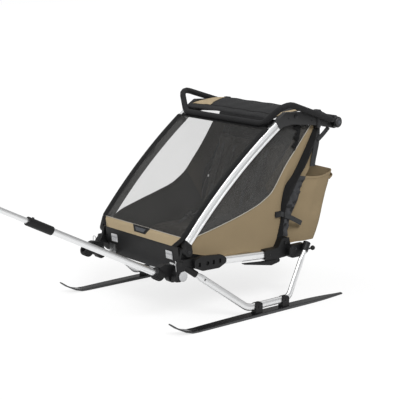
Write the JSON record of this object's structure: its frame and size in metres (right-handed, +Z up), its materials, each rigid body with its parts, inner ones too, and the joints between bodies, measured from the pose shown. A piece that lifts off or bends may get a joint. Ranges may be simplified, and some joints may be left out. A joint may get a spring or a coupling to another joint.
{
  "type": "child trailer",
  "caption": "Folding child trailer set up as a ski sled: fabric cabin on an aluminium frame, cargo bag, push bar, skis on bent tubes and a telescoping tow arm.",
  "frame": {"origin": "on the ground under the middle of the bounding box", "axes": "+Z up; -Y towards the nose and the tow arm; +X towards the trailer's left side, where the tow arm is"},
  "size_m": [1.03, 2.5274, 1.0849],
  "materials": {
    "silver": "satin anodised",
    "black_plastic": "fine textured",
    "black_metal": "powder coated",
    "foam": "closed-cell foam",
    "ski_base": "semi-gloss",
    "tan_fabric": "woven, coated",
    "black_fabric": "woven, coated",
    "mesh_fabric": "open mesh",
    "seat_fabric": "padded",
    "reflector": "clear prism"
  },
  "bodies": {
    "base": {"side_rail_left": "silver", "side_rail_right": "silver", "front_corner_left": "black_plastic", "front_corner_right": "black_plastic", "rear_corner_left": "black_plastic", "rear_corner_right": "black_plastic", "hub_pod_left": "black_plastic", "hub_pod_right": "black_plastic", "bumper_tab_left": "silver", "bumper_tab_right": "silver", "reflector_left": "reflector", "reflector_right": "reflector", "axle_block_left": "black_plastic", "axle_block_right": "black_plastic", "ski_left": "ski_base", "ski_right": "ski_base", "ski_tube_left": "silver", "ski_tube_right": "silver", "ski_sleeve_left": "black_plastic", "ski_sleeve_right": "black_plastic", "ski_lug_front_left": "black_plastic", "ski_lug_front_right": "black_plastic", "ski_lug_rear_left": "black_plastic", "ski_lug_rear_right": "black_plastic", "side_panel_left": "mesh_fabric", "side_panel_right": "mesh_fabric", "front_crossbar": "silver", "axle_beam": "black_metal", "bumper": "black_plastic", "floor": "black_fabric", "seat_bench": "seat_fabric", "seat_back": "seat_fabric"},
    "upper_frame": {"pillar_left": "silver", "pillar_right": "silver", "pillar_knuckle_left": "black_plastic", "pillar_knuckle_right": "black_plastic", "roof_bracket_left": "black_plastic", "roof_bracket_right": "black_plastic", "roof_canopy": "black_fabric"},
    "rear_frame": {"upright_left": "black_metal", "upright_right": "black_metal", "rear_panel": "black_fabric", "cargo_bag": "tan_fabric"},
    "handlebar": {"handlebar": "black_metal", "handlebar_grip": "foam"},
    "hub_button_left": {"hub_button_left": "black_plastic"},
    "hub_button_right": {"hub_button_right": "black_plastic"},
    "front_cover": {"front_cover": "mesh_fabric"},
    "hitch_left": {"hitch_socket_left": "black_plastic", "tow_arm_rear": "silver", "tow_arm_coupling": "black_plastic"},
    "arm_front": {"tow_arm_front": "silver", "tow_arm_end": "black_plastic"},
    "arm_button": {"tow_arm_button": "black_plastic"},
    "hitch_right": {"hitch_socket_right": "black_plastic"},
    "brake_pedal": {"brake_pedal": "black_plastic"},
    "fold_button_left": {"fold_button_left": "black_plastic"},
    "fold_button_right": {"fold_button_right": "black_plastic"},
    "axle_knob_left": {"axle_knob_left": "black_plastic"},
    "axle_knob_right": {"axle_knob_right": "black_plastic"}
  },
  "joints": [
    {"name": "frame_fold", "type": "hinge", "parent": "base", "child": "upper_frame", "pos_m": [0, 0.21571, 0.372], "axis": [1, 0, 0], "range_deg": [-36, 0], "deforming": ["side_panel_left", "side_panel_right", "seat_back", "rear_panel", "cargo_bag"]},
    {"name": "rear_fold", "type": "hinge", "parent": "upper_frame", "child": "rear_frame", "pos_m": [0, 1.11271, 0.955], "axis": [1, 0, 0], "range_deg": [-42.7, 0]},
    {"name": "handlebar_swing", "type": "hinge", "parent": "upper_frame", "child": "handlebar", "pos_m": [0, 1.22771, 0.943], "axis": [-1, 0, 0], "range_deg": [0, 165]},
    {"name": "hub_button_left_press", "type": "slide", "parent": "handlebar", "child": "hub_button_left", "axis": [-1, 0, 0], "range_m": [0, 0.004], "stiffness_N_per_m": 800, "springref_m": -0.002},
    {"name": "hub_button_right_press", "type": "slide", "parent": "handlebar", "child": "hub_button_right", "axis": [1, 0, 0], "range_m": [0, 0.004], "stiffness_N_per_m": 800, "springref_m": -0.002},
    {"name": "cover_open", "type": "hinge", "parent": "upper_frame", "child": "front_cover", "pos_m": [0, 0.74408, 0.94494], "axis": [-1, 0, 0], "range_deg": [0, 60]},
    {"name": "hitch_left_swivel", "type": "hinge", "parent": "base", "child": "hitch_left", "pos_m": [0, 0.14771, 0.25], "axis": [-1, 0, 0], "range_deg": [-34, 35]},
    {"name": "hitch_right_swivel", "type": "hinge", "parent": "base", "child": "hitch_right", "pos_m": [0, 0.14771, 0.25], "axis": [-1, 0, 0], "range_deg": [-34, 35]},
    {"name": "arm_extend", "type": "slide", "parent": "hitch_left", "child": "arm_front", "axis": [0, -0.8902, 0.4555], "range_m": [0, 0.06]},
    {"name": "arm_button_press", "type": "slide", "parent": "hitch_left", "child": "arm_button", "axis": [0, -0.4555, -0.8902], "range_m": [0, 0.003], "stiffness_N_per_m": 600, "springref_m": -0.002},
    {"name": "pedal_press", "type": "hinge", "parent": "base", "child": "brake_pedal", "pos_m": [0.352, 0.83971, 0.2265], "axis": [1, 0, 0], "range_deg": [0, 15]},
    {"name": "fold_button_left_press", "type": "slide", "parent": "base", "child": "fold_button_left", "axis": [-1, 0, 0], "range_m": [0, 0.004], "stiffness_N_per_m": 800, "springref_m": -0.002},
    {"name": "fold_button_right_press", "type": "slide", "parent": "base", "child": "fold_button_right", "axis": [1, 0, 0], "range_m": [0, 0.004], "stiffness_N_per_m": 800, "springref_m": -0.002},
    {"name": "axle_knob_left_pull", "type": "slide", "parent": "base", "child": "axle_knob_left", "axis": [0, 1, 0], "range_m": [0, 0.008], "stiffness_N_per_m": 1000, "springref_m": -0.002},
    {"name": "axle_knob_right_pull", "type": "slide", "parent": "base", "child": "axle_knob_right", "axis": [0, 1, 0], "range_m": [0, 0.008], "stiffness_N_per_m": 1000, "springref_m": -0.002}
  ],
  "couplings": [
    {"joint": "rear_fold", "follows": "frame_fold", "ratio": 1.183}
  ]
}
